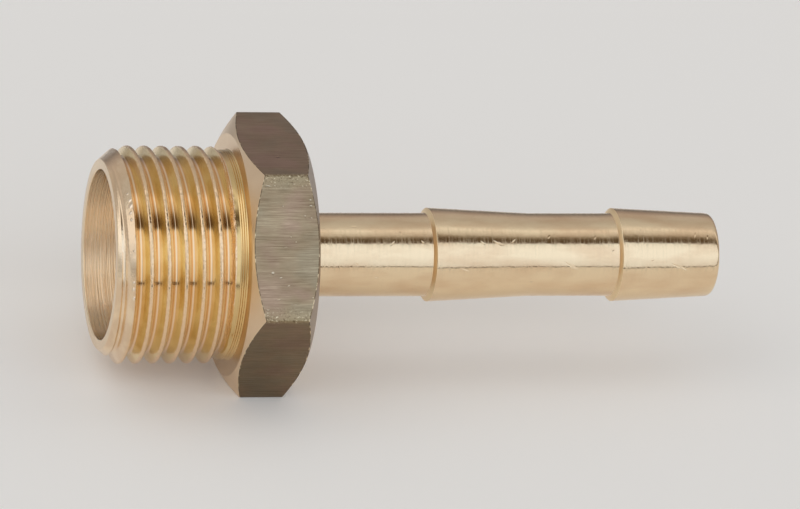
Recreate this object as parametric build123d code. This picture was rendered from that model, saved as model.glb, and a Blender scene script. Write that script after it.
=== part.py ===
from build123d import *
from math import atan2, ceil, degrees, radians, sqrt, tan
import os

# Hose barb tail: one brass piece turned from drawn hexagon bar.
# The axis of the fitting is the X axis, and the origin is the middle of the shoulder that the
# threaded end screws up to. The open threaded end points to -X and the hose tail to +X.
# The piece lies on a flat of its hexagon, which faces -Z. Sizes are in millimetres.

# Threaded end, G 3/8: a right-hand Whitworth thread
thread_major_d = 16.662
threads_per_inch = 19
thread_flank_angle = 27.5      # half of the 55 degree thread angle
thread_end_length = 9.9        # shoulder to open mouth
thread_last_root = 1.01        # shoulder to the last full-depth root, straight below the axis
thread_runout_turns = 0.5      # part of a turn over which the last groove rises out of the metal
mouth_rim_d = 14.5             # outer edge of the flat ring at the mouth
mouth_chamfer_angle = 41.0     # entry chamfer, from the axis
neck_depth = 0.281             # plain neck beside the shoulder, below the thread's crests
neck_length = 1.0
neck_root_bevel = 0.15

# Hexagon, for a 19 mm spanner
hex_across_flats = 19.0
hex_length = 5.25
hex_corner_radius = 0.15       # the drawn bar's own rounding
hex_face_d = 18.6              # flat end face left inside each corner chamfer
hex_chamfer_angle = 30.0       # from the end face

# Hose tail, for a 6 mm hose
tube_d = 6.45
barb_height = 0.41             # each barb's crest above the tube
barb_back_length = 0.25
first_barb_start = 10.36       # hexagon to the foot of each barb's back
first_barb_taper_length = 8.0
second_barb_start = 25.25
tail_length = 33.45            # hexagon to tip
tip_d = 6.48
tip_edge_bevel = 0.3
tail_root_bevel = 0.2

# Hollow inside
mouth_bore_d = 13.0
mouth_bore_depth = 7.0
drill_point_angle = 118.0
tail_bore_d = 5.0
mouth_bore_break = 0.1
tip_bore_break = 0.2

MM_PER_INCH = 25.4
WHITWORTH_DEPTH = 0.640327     # thread depth as a share of the pitch
CUTTER_OVERRUN = 0.05          # how far a cutting tool stands clear of the metal

hex_start_x = 0.0
mouth_x = hex_start_x - thread_end_length
tail_start_x = hex_start_x + hex_length
tip_x = tail_start_x + tail_length
thread_pitch = MM_PER_INCH / threads_per_inch
thread_depth = WHITWORTH_DEPTH * thread_pitch


def revolved(points):
    """A solid turned about the X axis from its half outline in the XY plane."""
    return revolve(Plane.XY * make_face(Polyline(*points, close=True)), Axis.X)


def edges_at(solid, x, radius):
    """The circular edges of a turned solid at one place along the axis and one radius."""
    near = 0.001
    return [
        edge
        for edge in solid.edges().filter_by(GeomType.CIRCLE)
        if abs(edge.arc_center.X - x) < near and abs(edge.radius - radius) < near
    ]


def thread_blank():
    """What the thread is cut on: its crest cylinder, the entry chamfer and the neck behind it."""
    rim_r = mouth_rim_d / 2
    major_r = thread_major_d / 2
    neck_r = major_r - neck_depth
    chamfer_length = (major_r - rim_r) / tan(radians(mouth_chamfer_angle))
    neck_x = hex_start_x - neck_length
    neck_slope_x = neck_x - neck_depth
    return revolved([
        (mouth_x, 0),
        (mouth_x, rim_r),
        (mouth_x + chamfer_length, major_r),
        (neck_slope_x, major_r),
        (neck_x, neck_r),
        (hex_start_x, neck_r),
        (hex_start_x, 0),
    ])


def groove_section():
    """The thread groove across, with the root and the crest beside it left equally wide."""
    major_r = thread_major_d / 2
    widening = tan(radians(thread_flank_angle))
    root_half = thread_pitch / 4 - thread_depth / 2 * widening
    root_y = major_r - thread_depth
    top_y = major_r + CUTTER_OVERRUN
    top_half = root_half + (top_y - root_y) * widening
    return make_face(
        Polyline((-root_half, root_y), (root_half, root_y), (top_half, top_y), (-top_half, top_y),
                 close=True)
    )


def groove_along(path):
    """The groove swept along a helix about the X axis that starts straight above the axis."""
    start = path @ 0
    across = Plane(origin=(start.X, 0, 0), x_dir=(1, 0, 0), z_dir=(0, -1, 0))
    return sweep(across * groove_section(), path=path, is_frenet=True)


def threaded_end():
    """The blank with its groove cut one turn at a time, from the neck out past the mouth."""
    major_r = thread_major_d / 2
    along_x = (1, 0, 0)
    one_turn = groove_along(
        Helix(pitch=thread_pitch, height=thread_pitch, radius=major_r, direction=along_x)
    )
    runout_length = thread_runout_turns * thread_pitch
    runout_cone = degrees(atan2(thread_depth, runout_length))
    runout = groove_along(
        Helix(pitch=thread_pitch, height=runout_length, radius=major_r, direction=along_x,
              cone_angle=runout_cone)
    )
    from_below = Rot(180, 0, 0)
    end = thread_blank()
    last_root_x = hex_start_x - thread_last_root
    turns = ceil((last_root_x - mouth_x) / thread_pitch + 0.5)
    for turn in range(1, turns + 1):
        end = end - Pos(last_root_x - turn * thread_pitch, 0, 0) * from_below * one_turn
    return end - Pos(last_root_x, 0, 0) * from_below * runout


def hexagon():
    """A length of drawn bar with rounded corners, chamfered on both ends by turning."""
    section = RegularPolygon(hex_across_flats / 2, 6, major_radius=False)
    section = fillet(section.vertices(), hex_corner_radius)
    bar = extrude(Plane.YZ.offset(hex_start_x) * section, hex_length)
    face_r = hex_face_d / 2
    corner_r = hex_across_flats / sqrt(3)
    chamfer_length = (corner_r - face_r) * tan(radians(hex_chamfer_angle))
    turned = revolved([
        (hex_start_x, 0),
        (hex_start_x, face_r),
        (hex_start_x + chamfer_length, corner_r),
        (tail_start_x - chamfer_length, corner_r),
        (tail_start_x, face_r),
        (tail_start_x, 0),
    ])
    return bar & turned


def hose_tail():
    """Two barbs on a plain tube. Each has a short back and a long taper towards the tip."""
    tube_r = tube_d / 2
    barb_r = tube_r + barb_height
    tip_r = tip_d / 2
    first_foot_x = tail_start_x + first_barb_start
    first_crest_x = first_foot_x + barb_back_length
    second_foot_x = tail_start_x + second_barb_start
    second_crest_x = second_foot_x + barb_back_length
    tail = revolved([
        (tail_start_x, 0),
        (tail_start_x, tube_r),
        (first_foot_x, tube_r),
        (first_crest_x, barb_r),
        (first_crest_x + first_barb_taper_length, tube_r),
        (second_foot_x, tube_r),
        (second_crest_x, barb_r),
        (tip_x, tip_r),
        (tip_x, 0),
    ])
    return chamfer(edges_at(tail, tip_x, tip_r), tip_edge_bevel)


def hollow():
    """The wide bore from the mouth, the cone its drill leaves, and the bore through the tail."""
    mouth_bore_r = mouth_bore_d / 2
    tail_bore_r = tail_bore_d / 2
    mouth_bore_end_x = mouth_x + mouth_bore_depth
    cone_length = (mouth_bore_r - tail_bore_r) / tan(radians(drill_point_angle / 2))
    return revolved([
        (mouth_x, 0),
        (mouth_x, mouth_bore_r + mouth_bore_break),
        (mouth_x + mouth_bore_break, mouth_bore_r),
        (mouth_bore_end_x, mouth_bore_r),
        (mouth_bore_end_x + cone_length, tail_bore_r),
        (tip_x - tip_bore_break, tail_bore_r),
        (tip_x, tail_bore_r + tip_bore_break),
        (tip_x, 0),
    ])


def body():
    unthreaded = hexagon() + hose_tail()
    unthreaded = chamfer(edges_at(unthreaded, tail_start_x, tube_d / 2), tail_root_bevel)
    outside = unthreaded + threaded_end()
    neck_r = thread_major_d / 2 - neck_depth
    outside = chamfer(edges_at(outside, hex_start_x, neck_r), neck_root_bevel)
    return outside - hollow()


os.makedirs("parts", exist_ok=True)
export_step(body(), "parts/hose_tail_body.step")
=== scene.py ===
import random
from math import atan2, ceil, cos, degrees, pi, radians, sin, sqrt, tan

import bpy
from mathutils import Matrix, Vector

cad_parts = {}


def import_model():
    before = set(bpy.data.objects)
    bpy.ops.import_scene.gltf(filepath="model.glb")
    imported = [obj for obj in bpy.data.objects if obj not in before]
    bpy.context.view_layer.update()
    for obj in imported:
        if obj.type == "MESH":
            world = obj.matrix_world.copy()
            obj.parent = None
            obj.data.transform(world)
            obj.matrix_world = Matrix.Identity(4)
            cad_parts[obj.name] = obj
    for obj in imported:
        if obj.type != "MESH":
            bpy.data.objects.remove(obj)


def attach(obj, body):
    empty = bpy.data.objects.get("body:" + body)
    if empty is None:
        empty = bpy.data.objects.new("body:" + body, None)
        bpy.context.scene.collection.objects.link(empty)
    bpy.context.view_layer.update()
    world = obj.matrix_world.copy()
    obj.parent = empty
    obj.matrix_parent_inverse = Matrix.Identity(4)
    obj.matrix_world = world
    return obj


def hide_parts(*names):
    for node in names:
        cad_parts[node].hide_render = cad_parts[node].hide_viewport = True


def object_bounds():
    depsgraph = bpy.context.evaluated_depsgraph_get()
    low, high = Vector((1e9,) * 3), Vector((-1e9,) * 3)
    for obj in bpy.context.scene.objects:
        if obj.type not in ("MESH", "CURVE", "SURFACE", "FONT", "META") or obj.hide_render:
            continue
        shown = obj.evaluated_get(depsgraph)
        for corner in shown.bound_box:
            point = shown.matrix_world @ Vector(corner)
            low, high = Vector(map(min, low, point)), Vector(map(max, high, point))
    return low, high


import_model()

# A brass hose tail turned from hexagon bar, lying on one flat of its hexagon.
# The detailed skin below stands for the CAD body. Its axis is the X axis, the open threaded end
# points to -X, and the shoulder of the hexagon is at X = 0. Lengths are in millimetres here and
# become metres where the mesh, the materials, the floor and the camera take them.

MM = 0.001
NODE = "hose_tail_body"
low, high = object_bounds()
mouth_x = low[0] / MM
tip_x = high[0] / MM
hex_flat_r = high[2] / MM
floor_z = low[2] / MM

# Threaded end, G 3/8: Whitworth form, right-handed
pitch = 25.4 / 19
major_r = 16.662 / 2
depth = 0.640327 * pitch
root_r = major_r - depth
round_r = 0.137329 * pitch
flank = radians(27.5)
root_x_below = -1.01             # x of the last full root, straight below the axis
runout_turn = 0.5                # the part of a turn over which the last groove rises
rim_r = 7.25
mouth_slope = tan(radians(41))
facing_length = 1.3              # how far from the mouth its facing cut leaves a finish
facing_skin = 0.012              # and how far under the entry chamfer
neck_r = major_r - 0.281
neck_length = 1.0
thread_end_x = -neck_length - 0.25
neck_ring_spacing = 0.17
neck_ring_depth = 0.045

# Nicks in the thread's crests
nick_count = 150
nick_turns = 7
nick_depths = (0.015, 0.05)
nick_half_angles = (1.2, 2.6)    # in degrees round the axis
nick_reach = 0.2                 # along the axis, to each side

# Hexagon
hex_length = 5.25
corner_round = 0.15
hex_face_r = 9.3
hex_slope = tan(radians(30))
edge_width = 0.06

# Hose tail
tube_r = 3.225
barb_r = tube_r + 0.41
barb_back = 0.25
taper_length = 8.0
barb1_x = hex_length + 10.36
barb2_x = hex_length + 25.25
tip_r = 3.24
crest_round = 0.07
tip_round = 0.38

# Hollow
mouth_bore_r = 6.5
mouth_bore_end = mouth_x + 7.0
tail_bore_r = 2.5
cone_end = mouth_bore_end + (mouth_bore_r - tail_bore_r) / tan(radians(59))

# Spacing of the skin's rows, and the number of its columns
thread_step = 0.047
neck_step = 0.025
tube_step = 1.2
taper_step = 0.9
face_step = 0.3
flat_rows = 34
columns_per_flat = 36
sharp_angle = radians(24)        # edges sharper than this are shaded as edges
neck_finish_x = -0.88            # the neck's finish starts here, in the last groove's run-out
neck_rows_start = -0.62          # the neck's closer rows, for its rings
neck_rows_end = -0.12


# ---------------------------------------------------------------- shape

def hexagon_r(angle):
    """Distance from the axis to the drawn bar's outline, with its corners rounded."""
    off = abs(degrees(angle) % 60 - 30)
    corner = (hex_flat_r - corner_round) / cos(radians(30))
    arc_end = degrees(atan2(corner_round * 0.5, corner + corner_round * cos(radians(30))))
    if 30 - off >= arc_end:
        return hex_flat_r / cos(radians(off))
    turn = radians(30 - off)
    return corner * cos(turn) + sqrt(corner_round ** 2 - (corner * sin(turn)) ** 2)


def turns_from_below(angle):
    """Turns round the axis, counted from straight below it."""
    return (angle + pi / 2) / (2 * pi)


def whitworth(x, angle):
    """The thread's surface: rounded roots and crests with straight flanks between them."""
    root = root_x_below + pitch * turns_from_below(angle)
    to_root = abs((x - root + pitch / 2) % pitch - pitch / 2)
    to_crest = pitch / 2 - to_root
    arc_x = round_r * cos(flank)
    arc_h = round_r * (1 - sin(flank))
    if to_root < arc_x:
        height = round_r - sqrt(round_r ** 2 - to_root ** 2)
    elif to_crest < arc_x:
        height = depth - (round_r - sqrt(round_r ** 2 - to_crest ** 2))
    else:
        height = arc_h + (to_root - arc_x) / tan(flank)
    return root_r + height


def groove_lift(x, angle):
    """How far the last groove has risen out of the metal, from 0 to the full depth."""
    turns = turns_from_below(angle) % 1.0
    last_root = root_x_below + pitch * turns
    if x <= last_root - pitch / 2:
        return 0.0
    if x > last_root + pitch / 2:
        return depth
    return depth * min(1.0, turns / runout_turn)


def thread_r(x, angle):
    """The threaded end's outer surface, with its entry chamfer and the plain neck."""
    cone = rim_r + (x - mouth_x) * mouth_slope
    cut = min(major_r, whitworth(x, angle) + groove_lift(x, angle))
    neck_start = -neck_length - (major_r - neck_r)
    if x > neck_start:
        cut = min(cut, max(neck_r, major_r - (x - neck_start)))
    return min(cone, cut)


def crest_nicks():
    """Small dents in the thread's crests: (x of the crest, angle, depth, half width in radians)."""
    chance = random.Random(19)
    found = []
    for number in range(nick_count):
        angle = chance.uniform(-pi / 2, 1.5 * pi)
        turn = chance.randrange(0, nick_turns)
        x = root_x_below + pitch * (turns_from_below(angle) - 0.5 - turn)
        deep = chance.uniform(*nick_depths)
        half = radians(chance.uniform(*nick_half_angles))
        found.append((x, angle, deep, half))
    return found


NICKS = crest_nicks()


def nicked(x, angle):
    """How far the nearest dents lower the surface at this place."""
    lowered = 0.0
    for nick_x, nick_angle, deep, half in NICKS:
        if abs(x - nick_x) < nick_reach:
            off = abs((angle - nick_angle + pi) % (2 * pi) - pi)
            if off < half:
                share = (1 - off / half) * (1 - abs(x - nick_x) / nick_reach)
                lowered = max(lowered, deep * share)
    return lowered


def neck_ring(x):
    """How far a turning tool's feed marks lower the neck at this place."""
    return neck_ring_depth * (0.5 - 0.5 * cos(2 * pi * x / neck_ring_spacing))


def steps(start, end, size):
    """Evenly spaced values from start to end, at most size apart."""
    count = max(1, ceil(abs(end - start) / size))
    return [start + (end - start) * i / count for i in range(count + 1)]


def arc(cx, cy, radius, start, end, count):
    """Points of a round edge, with angles in degrees from +X."""
    turns = [radians(start + (end - start) * i / count) for i in range(count + 1)]
    return [(cx + radius * cos(t), cy + radius * sin(t)) for t in turns]


# The skin's finishes. The skin is made of rows, one after another round the profile, and a row is
# its finish and a function that gives x and r at each angle round the axis. The finish covers the
# strip between a row and the one before it.
FINISHES = (
    "mouth_face", "thread", "neck", "turned_face", "worn_edge", "drawn_flat", "dull_face", "tail",
    "barb_back", "bore",
)


def ring(finish, x, r):
    """A row that is a plain circle."""
    return finish, lambda angle: (x, r)


def cut_row(x):
    """A row of the threaded end, with its nicks."""
    finish = "thread" if x < neck_finish_x else "neck"
    return finish, lambda angle: (x, thread_r(x, angle) - nicked(x, angle))


def threaded_rows():
    """The flat ring at the mouth, the thread, and the neck up to the shoulder."""
    rows = [ring("mouth_face", mouth_x, r) for r in (mouth_bore_r + 0.1, rim_r - 0.4, rim_r - 0.06)]
    rows.append(ring("mouth_face", mouth_x + 0.015, rim_r - 0.01))
    rows += [cut_row(x) for x in steps(mouth_x + 0.05, neck_rows_start, thread_step)]
    for x in steps(neck_rows_start, neck_rows_end, neck_step):
        rows.append(ring("neck", x, neck_r - neck_ring(x)))
    rows.append(ring("neck", -0.08, neck_r + 0.02))
    rows.append(ring("neck", -0.02, neck_r + 0.07))
    return rows


def chamfer_length(angle):
    """How far a turned chamfer reaches along the hexagon at this angle."""
    return max(0.0, (hexagon_r(angle) - hex_face_r) * hex_slope)


def chamfer_row(finish, end_x, inwards, share):
    """A row of a turned chamfer, at a share of the way from the end face to the flat."""
    def place(angle):
        x = end_x + inwards * chamfer_length(angle) * share
        return x, hex_face_r + (hexagon_r(angle) - hex_face_r) * share

    return finish, place


def flat_row(share):
    """A row of the flats, at a share of the way from one chamfer to the other."""
    def place(angle):
        start = chamfer_length(angle)
        return start + (hex_length - 2 * start) * share, hexagon_r(angle)

    return "drawn_flat", place


def shoulder_edge(angle):
    """The end of the worn line beside the chamfer at the shoulder."""
    return chamfer_length(angle) + edge_width, hexagon_r(angle)


def tail_edge(angle):
    """The start of the worn line beside the chamfer on the tail's side."""
    return hex_length - chamfer_length(angle) - edge_width, hexagon_r(angle)


def hexagon_rows():
    """The shoulder, the flats between two turned chamfers, and the face round the tail."""
    rows = [ring("turned_face", 0.0, neck_r + 0.15)]
    rows += [ring("turned_face", 0.0, r) for r in steps(neck_r + 0.45, hex_face_r, face_step)]
    rows += [chamfer_row("turned_face", 0.0, 1, share) for share in (0.25, 0.5, 0.75, 1.0)]
    rows.append(("worn_edge", shoulder_edge))
    rows += [flat_row(i / flat_rows) for i in range(1, flat_rows)]
    rows.append(("drawn_flat", tail_edge))
    rows.append(chamfer_row("worn_edge", hex_length, -1, 1.0))
    rows += [chamfer_row("dull_face", hex_length, -1, share) for share in (0.75, 0.5, 0.25)]
    rows.append(ring("dull_face", hex_length, hex_face_r))
    rows += [ring("turned_face", hex_length, r) for r in (7.8, 6.2, 4.8, 3.8)]
    return rows


def tube_rows(start, end):
    """A plain length of the tail."""
    return [ring("tail", x, tube_r) for x in steps(start, end, tube_step)]


def barb_rows(foot, fall, taper_end):
    """A barb's short back, rounded crest and taper. The taper falls at an angle in degrees."""
    peak = foot + barb_back
    rise = degrees(atan2(barb_r - tube_r, barb_back))
    rows = [ring("tail", foot + 0.02, tube_r + 0.02)]
    rows.append(ring("barb_back", foot + 0.06, tube_r + 0.09))
    for turn in (90 + rise, 90 + rise * 0.66, 90 + rise * 0.33, 90, 90 - fall):
        x = peak + crest_round * 0.35 + crest_round * cos(radians(turn))
        r = barb_r - crest_round * 1.1 + crest_round * sin(radians(turn))
        rows.append(ring("barb_back" if turn > 90 else "tail", x, r))
    for x in steps(peak + 0.5, taper_end, taper_step):
        rows.append(ring("tail", x, barb_r - (x - peak) * tan(radians(fall))))
    return rows


def tail_rows():
    """The hose tail from the hexagon to its rounded tip."""
    taper_end = barb1_x + barb_back + taper_length
    fall = degrees(atan2(barb_r - tube_r, taper_length))
    last_fall = degrees(atan2(barb_r - tip_r, tip_x - barb2_x - barb_back))
    rows = [ring("tail", hex_length, tube_r + 0.2)]
    rows.append(ring("tail", hex_length + 0.06, tube_r + 0.08))
    rows.append(ring("tail", hex_length + 0.2, tube_r))
    rows += tube_rows(hex_length + 0.9, barb1_x - 0.05)
    rows += barb_rows(barb1_x, fall, taper_end)
    rows += tube_rows(taper_end + 0.4, barb2_x - 0.05)
    rows += barb_rows(barb2_x, last_fall, tip_x - 0.55)
    tip = arc(tip_x - tip_round, tip_r - tip_round + 0.01, tip_round, 82, 12, 6)
    rows += [ring("tail", x, r) for x, r in tip]
    return rows


def bore_rows():
    """The hollow from the tip back to the mouth: tail bore, drill cone, mouth bore."""
    cone_x = mouth_bore_end - cone_end
    cone_r = mouth_bore_r - tail_bore_r
    points = [(tip_x, tail_bore_r + 0.2), (tip_x - 0.08, tail_bore_r + 0.06)]
    points.append((tip_x - 0.2, tail_bore_r))
    points += [(x, tail_bore_r) for x in steps(tip_x - 1.5, cone_end + 0.4, 3.0)]
    points += [(cone_end + cone_x * t, tail_bore_r + cone_r * t) for t in (0.0, 0.33, 0.66)]
    points += [(x, mouth_bore_r) for x in steps(mouth_bore_end, mouth_x + 0.1, 0.6)]
    points.append((mouth_x + 0.03, mouth_bore_r + 0.05))
    return [ring("bore", x, r) for x, r in points]


def column_angles():
    """Angles of the skin's columns, closer together at the hexagon's corners."""
    found = set()
    for corner in range(0, 360, 60):
        for off in (-0.4, -0.2, 0.0, 0.2, 0.4):
            found.add(round((corner + off) % 360, 4))
        for step in range(1, columns_per_flat):
            found.add(round(corner + step * 60 / columns_per_flat, 4))
    return [radians(a) for a in sorted(found)]


def raised(x, r):
    """Height in the thread, from 0 at a root to 1 at a crest. Past the thread it is 1."""
    if x > thread_end_x:
        return 1.0
    return max(0.0, min(1.0, (r - root_r) / depth))


def faced(x, r):
    """1 where the mouth's facing cut left its finish, and 0 elsewhere."""
    off_cone = r - rim_r - (x - mouth_x) * mouth_slope
    return 1.0 if off_cone > -facing_skin or x < mouth_x + facing_length else 0.0


def store(mesh, name, values):
    """One number at each point of the mesh, for the materials to read."""
    mesh.attributes.new(name, "FLOAT", "POINT").data.foreach_set("value", values)


def skin():
    """The whole body as one closed mesh: rows round the profile, columns round the axis."""
    around = column_angles()
    rows = threaded_rows() + hexagon_rows() + tail_rows() + bore_rows()
    places = [(angle, *place(angle)) for finish, place in rows for angle in around]
    verts = [(x * MM, r * cos(angle) * MM, r * sin(angle) * MM) for angle, x, r in places]
    columns = len(around)
    faces = []
    zones = []
    for i in range(len(rows)):
        j = (i + 1) % len(rows)
        for k in range(columns):
            m = (k + 1) % columns
            faces.append((i * columns + k, i * columns + m, j * columns + m, j * columns + k))
            zones.append(FINISHES.index(rows[j][0]))
    mesh = bpy.data.meshes.new("turned_body")
    mesh.from_pydata(verts, [], faces)
    mesh.polygons.foreach_set("material_index", zones)
    store(mesh, "raised", [raised(x, r) for angle, x, r in places])
    store(mesh, "faced", [faced(x, r) for angle, x, r in places])
    mesh.validate()
    mesh.update()
    mesh.shade_smooth()
    mesh.set_sharp_from_angle(angle=sharp_angle)
    return mesh


# ---------------------------------------------------------------- nodes

def new_material(name):
    """A bare metal: the material, its nodes, its links and its shader."""
    material = bpy.data.materials.new(name)
    material.use_nodes = True
    nodes = material.node_tree.nodes
    nodes.clear()
    shader = nodes.new("ShaderNodeBsdfPrincipled")
    out = nodes.new("ShaderNodeOutputMaterial")
    material.node_tree.links.new(shader.outputs["BSDF"], out.inputs["Surface"])
    shader.inputs["Metallic"].default_value = 1.0
    return material, nodes, material.node_tree.links, shader


def position(nodes):
    """Object coordinates, in metres."""
    return nodes.new("ShaderNodeTexCoord").outputs["Object"]


def stretched(nodes, links, scale):
    """Object coordinates in millimetres times a scale on each axis."""
    mapping = nodes.new("ShaderNodeMapping")
    mapping.inputs["Scale"].default_value = [s / MM for s in scale]
    links.new(position(nodes), mapping.inputs["Vector"])
    return mapping.outputs["Vector"]


def noise(nodes, links, vector, detail=2.0, roughness=0.5):
    """Soft noise over a vector, around 0.5."""
    node = nodes.new("ShaderNodeTexNoise")
    node.inputs["Scale"].default_value = 1.0
    node.inputs["Detail"].default_value = detail
    node.inputs["Roughness"].default_value = roughness
    links.new(vector, node.inputs["Vector"])
    return node.outputs["Fac"]


def attribute(nodes, name):
    """One of the numbers that the skin stores at its points."""
    node = nodes.new("ShaderNodeAttribute")
    node.attribute_name = name
    return node.outputs["Fac"]


def maths(nodes, links, operation, *values, clamp=False):
    """The result of a math node. Each value is a float or a socket."""
    node = nodes.new("ShaderNodeMath")
    node.operation = operation
    node.use_clamp = clamp
    for socket, value in zip(node.inputs, values):
        if isinstance(value, float):
            socket.default_value = value
        else:
            links.new(value, socket)
    return node.outputs[0]


def times(nodes, links, first, second):
    """first times second."""
    return maths(nodes, links, "MULTIPLY", first, second)


def added(nodes, links, first, second, share):
    """first plus share times second."""
    return maths(nodes, links, "MULTIPLY_ADD", second, share, first)


def vector_maths(nodes, links, operation, vector, fixed=None):
    """The outputs of a vector math node, for one vector or for one and a fixed one."""
    node = nodes.new("ShaderNodeVectorMath")
    node.operation = operation
    links.new(vector, node.inputs[0])
    if fixed:
        node.inputs[1].default_value = fixed
    return node.outputs


def length_of(nodes, links, vector):
    """The length of a vector."""
    return vector_maths(nodes, links, "LENGTH", vector)["Value"]


def between(nodes, links, value, start, end):
    """0 where the value is at start, 1 where it is at end, and held beyond them."""
    node = nodes.new("ShaderNodeMapRange")
    node.inputs["From Min"].default_value = start
    node.inputs["From Max"].default_value = end
    links.new(value, node.inputs["Value"])
    return node.outputs["Result"]


def ramp(nodes, links, value, stops):
    """Colours along a value. A stop is a place and a colour, or one number for a grey."""
    node = nodes.new("ShaderNodeValToRGB")
    while len(node.color_ramp.elements) < len(stops):
        node.color_ramp.elements.new(0.5)
    for element, (place, colour) in zip(node.color_ramp.elements, stops):
        element.position = place
        element.color = (colour, colour, colour, 1) if isinstance(colour, float) else (*colour, 1)
    links.new(value, node.inputs["Fac"])
    return node.outputs["Color"]


def blended(nodes, links, first, second, kind="MIX", share=1.0):
    """Two colours mixed. second and share may be sockets or plain values."""
    mix = nodes.new("ShaderNodeMix")
    mix.data_type = "RGBA"
    mix.blend_type = kind
    inputs = [socket for socket in mix.inputs if socket.type == "RGBA"]
    links.new(first, inputs[0])
    if isinstance(second, tuple):
        inputs[1].default_value = (*second, 1)
    else:
        links.new(second, inputs[1])
    if isinstance(share, float):
        mix.inputs["Factor"].default_value = share
    else:
        links.new(share, mix.inputs["Factor"])
    return next(socket for socket in mix.outputs if socket.type == "RGBA")


def bump(nodes, links, height, distance):
    """The shading of a height, which counts in units of a distance in mm."""
    node = nodes.new("ShaderNodeBump")
    node.inputs["Strength"].default_value = 1.0
    node.inputs["Distance"].default_value = distance * MM
    links.new(height, node.inputs["Height"])
    return node.outputs["Normal"]


# ---------------------------------------------------------------- finishes

def turned(name, colour, dark, roughness, ring_size, ring_depth):
    """A lathe-turned finish: fine rings about the X axis, with a size and depth in mm."""
    material, nodes, links, shader = new_material(name)
    rings = noise(nodes, links, stretched(nodes, links, (1 / ring_size, 0.02, 0.02)), 3.0)
    stain = noise(nodes, links, stretched(nodes, links, (0.25, 0.25, 0.25)), 4.0)
    links.new(ramp(nodes, links, stain, ((0.3, dark), (0.62, colour))), shader.inputs["Base Color"])
    links.new(bump(nodes, links, rings, ring_depth), shader.inputs["Normal"])
    shader.inputs["Roughness"].default_value = roughness
    return material


# Marks: x, how far the mark is round the axis from the middle of its side (in degrees on a round
# surface and in mm on a flat, upwards on the camera's side and backwards on top), its length, its
# half width, and its tilt in degrees. Lengths are in mm.
TAIL_SCRATCHES = (
    (9.5, 41, 0.5, 0.10, 5), (9.6, -14, 0.5, 0.05, -40), (12.4, 15, 0.6, 0.06, 45),
    (14.8, 17, 0.4, 0.06, -45), (17.9, -52, 0.5, 0.06, 60), (18.1, -19, 0.9, 0.06, -20),
    (19.5, 15, 0.5, 0.06, -40), (20.7, 15, 0.9, 0.07, -30), (21.0, 14, 0.6, 0.05, -35),
    (22.0, 18, 0.5, 0.05, 40), (26.5, -15, 1.1, 0.06, -35), (26.9, -17, 0.9, 0.06, -33),
    (24.9, 25, 0.4, 0.08, 60), (28.6, 24, 0.4, 0.07, 70), (32.3, 33, 0.5, 0.06, 80),
    (35.1, -15, 0.9, 0.07, -25), (35.7, -18, 0.8, 0.06, -30), (36.7, 27, 0.5, 0.07, 75),
    (37.7, 24, 0.4, 0.07, 80), (33.1, -8, 0.4, 0.05, 20), (11.2, -33, 0.5, 0.05, 10),
    (13.1, 30, 0.4, 0.06, -70), (23.6, -40, 0.6, 0.05, -15), (30.0, 6, 0.3, 0.06, 30),
)
# Burrs on the thread's first crest
THREAD_BURRS = (
    (-8.93, 30.1, 0.35, 0.14, 70), (-8.91, 26.6, 0.50, 0.17, 80), (-8.95, 22.6, 0.35, 0.12, 60),
    (-8.92, 18.7, 0.30, 0.10, 90), (-9.02, 34.5, 0.25, 0.08, 45), (-8.80, -14.9, 0.30, 0.08, 85),
    (-8.78, -18.7, 0.40, 0.10, 88), (-8.71, -23.7, 0.45, 0.13, 80), (-8.85, 1.8, 0.15, 0.07, 90),
)
FLAT_DENTS = (
    (1.50, -1.83, 0.28, 0.13, 30), (2.11, -2.20, 0.26, 0.09, 20), (4.46, 3.66, 0.20, 0.10, 0),
    (4.48, 3.21, 0.26, 0.10, 10), (1.18, 4.70, 0.45, 0.09, 0), (4.01, 2.46, 0.20, 0.08, 0),
    (2.91, 0.88, 0.14, 0.08, 0), (2.32, 3.20, 0.16, 0.08, 15), (1.70, 4.72, 0.20, 0.07, -10),
    (3.20, 4.85, 0.25, 0.06, 10), (2.70, -2.80, 0.30, 0.06, 25), (4.52, 2.30, 0.16, 0.08, 0),
    (3.30, 0.50, 0.14, 0.07, 0), (2.50, 0.10, 0.40, 0.04, 4), (4.55, -3.70, 0.22, 0.07, 30),
    (1.90, -3.85, 0.50, 0.05, 8), (3.10, -4.20, 0.60, 0.04, -5), (1.10, -4.60, 0.30, 0.07, 0),
)
TOP_DENTS = ((2.61, -2.32, 0.34, 0.12, 6),)
TAIL_MARK_R = 3.35
BURR_R = major_r - 0.05
MARK_REACH = 0.6                 # how far a mark reaches in and out of the surface
CAMERA_SIDE = radians(152.7)     # the side of the axis that faces the camera
CAMERA_FLAT = radians(150)
# The flat below the camera's, whose colour is darkened as painted shade
LOWER_FLAT = radians(210)
TOP_FLAT = radians(90)
FLAT_FADE = (9.2, 9.46)          # distances from the axis over which a flat takes its own look
CORNER_WEAR = (10.45, 10.9)      # and over which the hexagon's corners are worn


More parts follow.
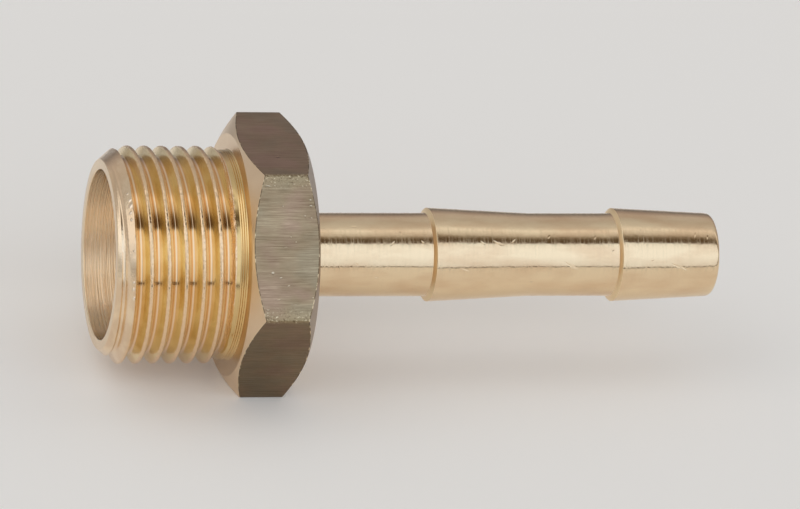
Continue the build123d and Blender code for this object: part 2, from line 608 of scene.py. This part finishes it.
def scratched(nodes, links, marks, side, flat_r=None, round_r=TAIL_MARK_R):
    """One value that is 1 in the middle of each mark and 0 away from them."""
    place = position(nodes)
    found = None
    for x, above, length, half_width, tilt in marks:
        angle = side if flat_r else side - radians(above)
        out = Vector((0, cos(angle), sin(angle)))
        round_way = Vector((0, sin(angle), -cos(angle)))
        middle = Vector((x, 0, 0)) + (out * flat_r + round_way * above if flat_r else out * round_r)
        along = Vector((cos(radians(tilt)), 0, 0)) + round_way * sin(radians(tilt))
        turn = Matrix((along, out.cross(along), out)).transposed()
        mapping = nodes.new("ShaderNodeMapping")
        mapping.vector_type = "TEXTURE"
        mapping.inputs["Location"].default_value = middle * MM
        mapping.inputs["Rotation"].default_value = turn.to_euler()
        mapping.inputs["Scale"].default_value = (length / 2 * MM, half_width * MM, MARK_REACH * MM)
        links.new(place, mapping.inputs["Vector"])
        far = length_of(nodes, links, mapping.outputs["Vector"])
        near = maths(nodes, links, "SUBTRACT", 1.0, far, clamp=True)
        found = near if found is None else maths(nodes, links, "MAXIMUM", found, near)
    return found


def polished(name):
    """The tail: bright turned brass, with fine chatter across it and a few scratches."""
    material, nodes, links, shader = new_material(name)
    stain = noise(nodes, links, stretched(nodes, links, (0.2, 0.6, 0.6)), 4.0)
    colour = ramp(nodes, links, stain, ((0.36, (0.82, 0.595, 0.37)), (0.58, (0.91, 0.71, 0.46))))
    links.new(colour, shader.inputs["Base Color"])
    columns = noise(nodes, links, stretched(nodes, links, (8.0, 0.35, 0.35)), 4.0, 0.8)
    rough = ramp(nodes, links, columns, ((0.44, 0.06), (0.58, 0.25)))
    links.new(rough, shader.inputs["Roughness"])
    chatter = noise(nodes, links, stretched(nodes, links, (3.0, 1.5, 1.5)), 2.0)
    marks = scratched(nodes, links, TAIL_SCRATCHES, CAMERA_SIDE)
    height = added(nodes, links, chatter, marks, -2.5)
    links.new(bump(nodes, links, height, 0.01), shader.inputs["Normal"])
    return material


def thread_colour(nodes, links, height, worn, faced_share, ragged):
    """Golden flanks, redder roots and crests, and a stained entry chamfer with pale burrs."""
    stain = noise(nodes, links, stretched(nodes, links, (0.8, 0.4, 0.4)), 4.0)
    gold = ramp(nodes, links, stain, ((0.38, (0.82, 0.60, 0.29)), (0.58, (0.92, 0.735, 0.43))))
    root = ramp(nodes, links, height, ((0.05, 1.0), (0.14, 0.0)))
    rooted = blended(nodes, links, gold, (0.90, 0.635, 0.395), "MIX", root)
    crested = blended(nodes, links, rooted, (0.90, 0.65, 0.405), "MIX", worn)
    burred = ramp(nodes, links, stain, ((0.45, (0.82, 0.61, 0.405)), (0.62, (0.93, 0.735, 0.51))))
    colour = blended(nodes, links, crested, burred, "MIX", faced_share)
    return blended(nodes, links, colour, (0.98, 0.86, 0.70), "MIX", ragged)


def thread_relief(nodes, links, worn, faced_share, ragged):
    """Small bits on the worn crests, fine tool rings, and the burrs on the first crest."""
    burrs = noise(nodes, links, stretched(nodes, links, (5.0, 5.0, 5.0)), 3.0, 0.6)
    spots = ramp(nodes, links, burrs, ((0.50, 0.0), (0.62, 1.0)))
    strength = blended(nodes, links, worn, (0.2, 0.2, 0.2), "MIX", faced_share)
    bits = times(nodes, links, spots, strength)
    rings = noise(nodes, links, stretched(nodes, links, (10.0, 0.02, 0.02)), 2.0)
    return added(nodes, links, added(nodes, links, bits, rings, 0.2), ragged, 5.0)


def threaded(name):
    """The cut thread: smooth roots, duller flanks and worn crests."""
    material, nodes, links, shader = new_material(name)
    height = attribute(nodes, "raised")
    faced_share = attribute(nodes, "faced")
    worn = ramp(nodes, links, height, ((0.80, 0.0), (0.92, 1.0)))
    ragged = scratched(nodes, links, THREAD_BURRS, CAMERA_SIDE, round_r=BURR_R)
    colour = thread_colour(nodes, links, height, worn, faced_share, ragged)
    links.new(colour, shader.inputs["Base Color"])
    rough = ramp(nodes, links, height, ((0.08, 0.08), (0.25, 0.22), (0.80, 0.20), (0.94, 0.10)))
    blurred = blended(nodes, links, rough, (0.18, 0.18, 0.18), "MIX", faced_share)
    links.new(blurred, shader.inputs["Roughness"])
    relief = thread_relief(nodes, links, worn, faced_share, ragged)
    links.new(bump(nodes, links, relief, 0.014), shader.inputs["Normal"])
    return material


def on_flat(nodes, links, side):
    """1 on the flat of the hexagon that faces this way, fading to 0 past its edges."""
    facing = (0, cos(side) / MM, sin(side) / MM)
    reach = vector_maths(nodes, links, "DOT_PRODUCT", position(nodes), facing)
    return between(nodes, links, reach["Value"], *FLAT_FADE)


def oxide_with_lower_shade(nodes, links, lines, camera_flat):
    """Dull brown, streaky on the flat that faces the camera, with painted shade darkening the one below
    it.
    """
    streaky = ramp(nodes, links, lines, (
        (0.35, (0.22, 0.16, 0.10)), (0.46, (0.305, 0.235, 0.15)),
        (0.54, (0.36, 0.28, 0.185)), (0.65, (0.50, 0.405, 0.27))))
    smooth = ramp(nodes, links, lines, ((0.41, (0.28, 0.205, 0.14)), (0.59, (0.38, 0.285, 0.205))))
    colour = blended(nodes, links, smooth, streaky, "MIX", camera_flat)
    tint = noise(nodes, links, stretched(nodes, links, (0.3, 0.35, 0.35)), 2.0)
    hue = ramp(nodes, links, tint, (
        (0.38, (0.99, 1.0, 0.97)), (0.50, (1.04, 0.99, 0.93)), (0.64, (1.08, 0.96, 0.98))))
    tinted = blended(nodes, links, colour, hue, "MULTIPLY")
    # Painted shade: the flat below the camera's is multiplied darker, as if it lay in shadow.
    lower_flat_shade = on_flat(nodes, links, LOWER_FLAT)
    return blended(nodes, links, tinted, (0.62, 0.60, 0.51), "MULTIPLY", lower_flat_shade)


def corner_wear(nodes, links, colour, camera_flat):
    """Olive, dark and bright bits at the front flat's corners: the colour, and the bright bits."""
    out = vector_maths(nodes, links, "MULTIPLY", position(nodes), (0, 1 / MM, 1 / MM))
    from_axis = length_of(nodes, links, out["Vector"])
    corner = between(nodes, links, from_axis, *CORNER_WEAR)
    near_corner = times(nodes, links, corner, camera_flat)
    grit = noise(nodes, links, stretched(nodes, links, (5.0, 5.5, 5.5)), 3.0, 0.65)
    light_bits = ramp(nodes, links, grit, ((0.57, 0.0), (0.64, 1.0)))
    dark_bits = ramp(nodes, links, grit, ((0.36, 1.0), (0.43, 0.0)))
    half_near = times(nodes, links, near_corner, 0.5)
    olive = blended(nodes, links, colour, (0.45, 0.345, 0.20), "MIX", half_near)
    dark = times(nodes, links, dark_bits, near_corner)
    pitted = blended(nodes, links, olive, (0.16, 0.11, 0.06), "MIX", dark)
    worn = times(nodes, links, light_bits, near_corner)
    return blended(nodes, links, pitted, (0.80, 0.68, 0.46), "MIX", worn), worn


def drawn(name):
    """The bar's own drawn surface: dull oxidised brass, lines along the axis, wear, dents, painted
    shade below.
    """
    material, nodes, links, shader = new_material(name)
    long_lines = noise(nodes, links, stretched(nodes, links, (0.12, 8.5, 8.5)), 3.0, 0.65)
    short_lines = noise(nodes, links, stretched(nodes, links, (0.5, 13.0, 13.0)), 3.0, 0.7)
    cloud = noise(nodes, links, stretched(nodes, links, (0.35, 0.5, 0.5)), 3.0)
    lines = added(nodes, links, times(nodes, links, short_lines, 0.5), long_lines, 0.22)
    camera_flat = on_flat(nodes, links, CAMERA_FLAT)
    # Oxidised colours, with painted shade darkening the lower flat.
    shaded_oxide = oxide_with_lower_shade(nodes, links, added(nodes, links, lines, cloud, 0.28), camera_flat)
    bright, worn = corner_wear(nodes, links, shaded_oxide, camera_flat)
    dents = scratched(nodes, links, FLAT_DENTS, CAMERA_FLAT, hex_flat_r)
    top_dents = scratched(nodes, links, TOP_DENTS, TOP_FLAT, hex_flat_r)
    dented = blended(nodes, links, bright, (0.92, 0.80, 0.60), "MIX", dents)
    links.new(dented, shader.inputs["Base Color"])
    height = added(nodes, links, times(nodes, links, short_lines, 0.8), worn, -1.0)
    height = added(nodes, links, added(nodes, links, height, dents, -2.0), top_dents, -3.0)
    links.new(bump(nodes, links, height, 0.02), shader.inputs["Normal"])
    shader.inputs["Roughness"].default_value = 0.28
    return material


def worn_edge(name):
    """The line where a flat meets the chamfer: dark, with bright nicks."""
    material, nodes, links, shader = new_material(name)
    bits = noise(nodes, links, stretched(nodes, links, (3.0, 2.5, 2.5)), 3.0, 0.6)
    colour = ramp(nodes, links, bits, (
        (0.42, (0.13, 0.09, 0.05)), (0.54, (0.22, 0.16, 0.09)), (0.62, (0.75, 0.60, 0.38))))
    links.new(colour, shader.inputs["Base Color"])
    shader.inputs["Roughness"].default_value = 0.35
    return material


# A turned finish has its colour, its stains' colour, its roughness, and its rings' size and depth.
finishes = {
    "mouth_face": turned("mouth_face_brass", (0.88, 0.71, 0.50), (0.80, 0.62, 0.42), 0.26, 0.08, 0.004),
    "thread": threaded("thread_brass"),
    "neck": turned("neck_brass", (0.84, 0.61, 0.29), (0.70, 0.48, 0.21), 0.15, 0.1, 0.005),
    "turned_face": turned("turned_face_brass", (0.84, 0.66, 0.46), (0.77, 0.58, 0.39), 0.3, 0.1, 0.004),
    "worn_edge": worn_edge("worn_edge_brass"),
    "drawn_flat": drawn("drawn_brass"),
    "dull_face": turned("dull_face_brass", (0.42, 0.33, 0.25), (0.34, 0.26, 0.20), 0.35, 0.1, 0.006),
    "tail": polished("tail_brass"),
    "barb_back": turned("barb_back_brass", (0.96, 0.77, 0.50), (0.90, 0.68, 0.40), 0.38, 0.1, 0.01),
    "bore": turned("bore_brass", (0.98, 0.785, 0.55), (0.94, 0.73, 0.48), 0.12, 0.05, 0.075),
}

body = bpy.data.objects.new("turned_body", skin())
bpy.context.scene.collection.objects.link(body)
for finish in FINISHES:
    body.data.materials.append(finishes[finish])
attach(body, "root")
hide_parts(NODE)


# ---------------------------------------------------------------- stage, studio, camera

FLOOR_HALF_LENGTH = 100.0
FLOOR_FRONT = -75.0
FLOOR_BACK = 72.0
FLOOR_GAP = 0.02                 # below the piece, so that the two don't overlap
FLOOR_LIFT = 0.09


def floor():
    """A pale floor that takes the shadow, and glows a little where it is seen or reflected."""
    z = floor_z - FLOOR_GAP
    mesh = bpy.data.meshes.new("floor")
    corners = [(-FLOOR_HALF_LENGTH, FLOOR_FRONT, z), (FLOOR_HALF_LENGTH, FLOOR_FRONT, z)]
    corners += [(FLOOR_HALF_LENGTH, FLOOR_BACK, z), (-FLOOR_HALF_LENGTH, FLOOR_BACK, z)]
    mesh.from_pydata([(x * MM, y * MM, z * MM) for x, y, z in corners], [], [(0, 1, 2, 3)])
    plane = bpy.data.objects.new("floor", mesh)
    bpy.context.scene.collection.objects.link(plane)
    material, nodes, links, shader = new_material("floor")
    shader.inputs["Metallic"].default_value = 0.0
    shader.inputs["Roughness"].default_value = 0.9
    shader.inputs["Specular IOR Level"].default_value = 0.1
    shader.inputs["Base Color"].default_value = (0.93, 0.89, 0.83, 1)
    shader.inputs["Emission Color"].default_value = (1, 1, 1, 1)
    rays = nodes.new("ShaderNodeLightPath").outputs
    seen = maths(nodes, links, "MAXIMUM", rays["Is Camera Ray"], rays["Is Glossy Ray"])
    seen = maths(nodes, links, "MAXIMUM", seen, rays["Is Transmission Ray"])
    links.new(times(nodes, links, seen, FLOOR_LIFT), shader.inputs["Emission Strength"])
    mesh.materials.append(material)


# The studio is a soft tent round a table. Its light changes with the angle about the X axis, from
# below the table's edge on the camera's side, over the top, to the horizon behind:
# (degrees above the front horizon, red, green, blue). The dark band just below the horizon is the
# table's edge, and the one from 59 to 69 degrees is a gap between the tent's front and its top.
TENT = (
    (-40.0, 0.34, 0.34, 0.35),
    (-12.0, 0.45, 0.45, 0.45),
    (-8.8, 0.09, 0.07, 0.045),
    (-5.8, 0.09, 0.07, 0.045),
    (-4.8, 0.80, 0.86, 0.96),
    (22.0, 0.97, 1.07, 1.22),
    (40.0, 0.97, 1.07, 1.22),
    (55.0, 0.90, 0.98, 1.08),
    (59.0, 0.10, 0.075, 0.05),
    (69.0, 0.12, 0.09, 0.06),
    (75.0, 0.27, 0.24, 0.20),
    (80.0, 0.54, 0.52, 0.50),
    (88.0, 0.72, 0.72, 0.72),
    (95.0, 0.86, 0.86, 0.87),
    (106.0, 0.58, 0.58, 0.58),
    (127.0, 0.48, 0.48, 0.48),
    (148.0, 0.49, 0.46, 0.46),
    (162.0, 0.33, 0.30, 0.30),
    (180.0, 0.14, 0.13, 0.13),
)
TENT_START = -40.0
TENT_SPAN = 220.0
# The same beside the open end, where the tent has no gap
OPEN_END_TENT = (
    (-40.0, 0.50, 0.50, 0.50),
    (-5.0, 0.50, 0.50, 0.50),
    (-3.0, 0.40, 0.40, 0.40),
    (10.0, 0.56, 0.57, 0.60),
    (24.0, 0.76, 0.79, 0.84),
    (37.0, 0.94, 0.98, 1.05),
    (60.0, 1.10, 1.14, 1.20),
    (102.0, 1.08, 1.09, 1.11),
    (110.0, 0.52, 0.51, 0.50),
    (125.0, 0.46, 0.45, 0.44),
    (150.0, 0.54, 0.52, 0.50),
    (180.0, 0.62, 0.59, 0.58),
)
OPEN_END_START = -0.20           # x of the directions from which the open end's tent blends in
OPEN_END_FULL = -0.50            # and of those from which it is alone
BACKDROP = (0.6, 0.6, 0.6)       # what the camera sees past the floor


def tent_light(nodes, links, share, stops):
    """A tent's colours over the whole span of its angles."""
    places = [((place - TENT_START) / TENT_SPAN, colour) for place, *colour in stops]
    return ramp(nodes, links, share, places)


def world():
    """The tent's light, which blends into the open end's, behind a plain backdrop."""
    made = bpy.data.worlds.new("studio")
    made.use_nodes = True
    nodes, links = made.node_tree.nodes, made.node_tree.links
    apart = nodes.new("ShaderNodeSeparateXYZ")
    links.new(nodes.new("ShaderNodeTexCoord").outputs["Generated"], apart.inputs[0])
    towards = times(nodes, links, apart.outputs["Y"], -1.0)
    angle = maths(nodes, links, "ARCTAN2", apart.outputs["Z"], towards)
    tent_end = TENT_START + TENT_SPAN
    share = between(nodes, links, angle, radians(TENT_START), radians(tent_end))
    front = tent_light(nodes, links, share, TENT)
    beside = tent_light(nodes, links, share, OPEN_END_TENT)
    side = between(nodes, links, apart.outputs["X"], OPEN_END_START, OPEN_END_FULL)
    tent = blended(nodes, links, front, beside, "MIX", side)
    path = nodes.new("ShaderNodeLightPath")
    seen = blended(nodes, links, tent, BACKDROP, "MIX", path.outputs["Is Camera Ray"])
    links.new(seen, nodes["Background"].inputs["Color"])
    bpy.context.scene.world = made


def camera():
    """A pinhole view from about 400 mm, turned towards the open end."""
    distance = 400.0
    along = -88.41
    turn = 0.2501
    rise = radians(27.3)
    focal_pixels = 5344.15
    picture_width = 800
    across = Vector((0, cos(rise), -sin(rise)))
    up = Vector((0, sin(rise), cos(rise)))
    forward = Vector((sin(turn), 0, 0)) + across * cos(turn)
    right = Vector((cos(turn), 0, 0)) - across * sin(turn)
    place = Vector((along, 0, 0)) - across * distance
    made = bpy.data.cameras.new("camera")
    made.sensor_width = 36.0
    made.sensor_fit = "HORIZONTAL"
    made.lens = focal_pixels / picture_width * made.sensor_width
    made.clip_start = 0.01
    made.clip_end = 20.0
    holder = bpy.data.objects.new("camera", made)
    bpy.context.scene.collection.objects.link(holder)
    turn_matrix = Matrix((right, up, -forward)).transposed().to_4x4()
    holder.matrix_world = Matrix.Translation(place * MM) @ turn_matrix
    bpy.context.scene.camera = holder


floor()
world()
camera()
bpy.context.scene.view_settings.view_transform = "Standard"
